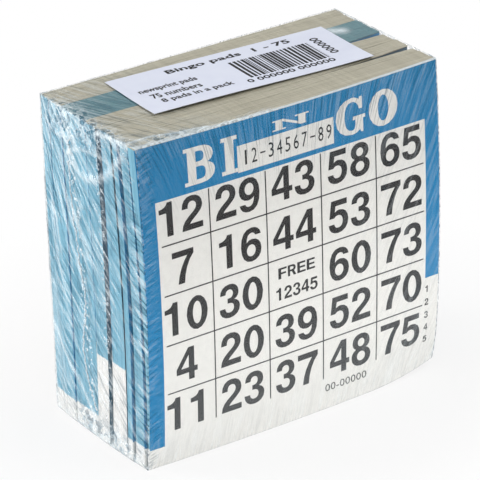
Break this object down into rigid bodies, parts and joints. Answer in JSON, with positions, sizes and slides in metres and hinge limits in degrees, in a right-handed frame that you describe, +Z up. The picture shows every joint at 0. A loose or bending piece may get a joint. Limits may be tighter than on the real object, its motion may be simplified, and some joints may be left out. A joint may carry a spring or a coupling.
{
  "type": "bingo pad pack",
  "caption": "Brick of gummed newsprint bingo pads, closed in clear shrink film with a paper bar-code label on top.",
  "frame": {"origin": "middle of the underside", "axes": "+X across the cards to the right seen from the printed front, +Y from the printed front to the back, +Z up"},
  "size_m": [0.1036, 0.0484, 0.0991],
  "materials": {
    "newsprint": "uncoated sheet edges with blue bleed",
    "card": "uncoated newsprint, printed blue and black",
    "gum_buff": "dried padding gum, satin",
    "gum_blue": "dried padding gum, satin",
    "film": "clear shrink film, glossy",
    "seal": "melted film, cloudy",
    "label": "coated label paper, satin"
  },
  "bodies": {
    "rear_film": {"film_rear": "film", "seal_bead": "seal", "label": "label"},
    "pad_1": {"pad_1_sheets": "newsprint", "pad_1_card": "card", "pad_1_gum": "gum_buff"},
    "pad_2": {"pad_2_sheets": "newsprint", "pad_2_card": "card", "pad_2_gum": "gum_buff"},
    "pad_3": {"pad_3_sheets": "newsprint", "pad_3_card": "card", "pad_3_gum": "gum_blue"},
    "pad_4": {"pad_4_sheets": "newsprint", "pad_4_card": "card", "pad_4_gum": "gum_buff"},
    "pad_5": {"pad_5_sheets": "newsprint", "pad_5_card": "card", "pad_5_gum": "gum_buff"},
    "pad_6": {"pad_6_sheets": "newsprint", "pad_6_card": "card", "pad_6_gum": "gum_buff"},
    "pad_7": {"pad_7_sheets": "newsprint", "pad_7_card": "card", "pad_7_gum": "gum_buff"},
    "pad_8": {"pad_8_sheets": "newsprint", "pad_8_card": "card", "pad_8_gum": "gum_buff"},
    "front_film": {"film_front": "film"}
  },
  "joints": [
    {"name": "pad_1_slide", "type": "slide", "parent": "rear_film", "child": "pad_1", "axis": [0, -1, 0], "range_m": [0, 0.06]},
    {"name": "pad_2_slide", "type": "slide", "parent": "pad_1", "child": "pad_2", "axis": [0, -1, 0], "range_m": [0, 0.056]},
    {"name": "pad_3_slide", "type": "slide", "parent": "pad_2", "child": "pad_3", "axis": [0, -1, 0], "range_m": [0, 0.05]},
    {"name": "pad_4_slide", "type": "slide", "parent": "pad_3", "child": "pad_4", "axis": [0, -1, 0], "range_m": [0, 0.037]},
    {"name": "pad_5_slide", "type": "slide", "parent": "pad_4", "child": "pad_5", "axis": [0, -1, 0], "range_m": [0, 0.03]},
    {"name": "pad_6_slide", "type": "slide", "parent": "pad_5", "child": "pad_6", "axis": [0, -1, 0], "range_m": [0, 0.023]},
    {"name": "pad_7_slide", "type": "slide", "parent": "pad_6", "child": "pad_7", "axis": [0, -1, 0], "range_m": [0, 0.02]},
    {"name": "pad_8_slide", "type": "slide", "parent": "pad_7", "child": "pad_8", "axis": [0, -1, 0], "range_m": [0, 0.015]},
    {"name": "front_film_slide", "type": "slide", "parent": "pad_8", "child": "front_film", "axis": [0, -1, 0], "range_m": [0, 0.046]}
  ]
}
